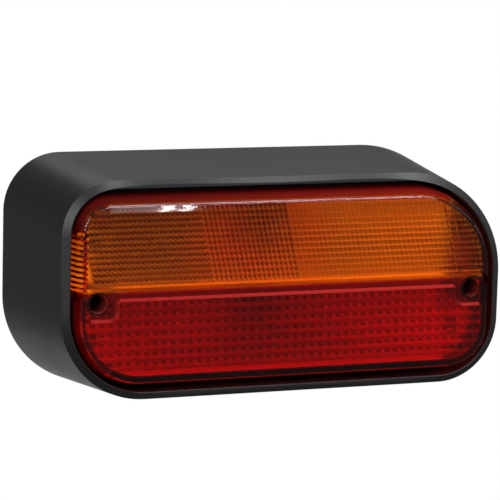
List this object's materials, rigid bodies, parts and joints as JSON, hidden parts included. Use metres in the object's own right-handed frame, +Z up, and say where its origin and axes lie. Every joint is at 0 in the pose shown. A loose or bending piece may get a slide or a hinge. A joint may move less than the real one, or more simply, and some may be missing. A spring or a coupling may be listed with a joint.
{
  "type": "tail light cluster",
  "caption": "Hooded vehicle tail light cluster with a wide two-colour lens, amber indicator above red tail and brake light, fixed by rear studs.",
  "frame": {"origin": "middle between the two mounting studs, on the rear face that lies on the vehicle panel", "axes": "+Y to the rear, along the studs; +X to the right seen from the front of the lens; +Z up as fitted"},
  "size_m": [0.2404, 0.0964, 0.1136],
  "materials": {
    "hood_plastic": "fine satin grain",
    "amber_lens": "clear amber, polished, fluted inside",
    "red_lens": "clear red, polished, fluted inside",
    "seal_rubber": "matt",
    "screw_steel": "zinc plated",
    "brass": "plain",
    "reflector_metal": "vacuum metallised plastic",
    "bulb_glass": "clear",
    "filament_wire": "drawn wire",
    "socket_steel": "zinc plated",
    "insulator_board": "phenolic board"
  },
  "bodies": {
    "root": {"housing": "hood_plastic", "lens_amber": "amber_lens", "lens_red": "red_lens", "lens_seal": "seal_rubber", "lens_screws": "screw_steel", "screw_inserts": "brass", "reflector": "reflector_metal", "reflector_screws": "screw_steel", "indicator_bulb_glass": "bulb_glass", "indicator_bulb_cap": "brass", "indicator_filament": "filament_wire", "indicator_socket": "socket_steel", "indicator_insulator": "insulator_board", "indicator_contact": "brass", "tail_bulb_glass": "bulb_glass", "tail_bulb_cap": "brass", "tail_filaments": "filament_wire", "tail_socket": "socket_steel", "tail_insulator": "insulator_board", "tail_contacts": "brass", "earth_strip": "brass", "socket_rivets": "screw_steel", "cable_grommet": "seal_rubber", "breather_plug": "seal_rubber", "mounting_studs": "screw_steel"}
  },
  "joints": []
}
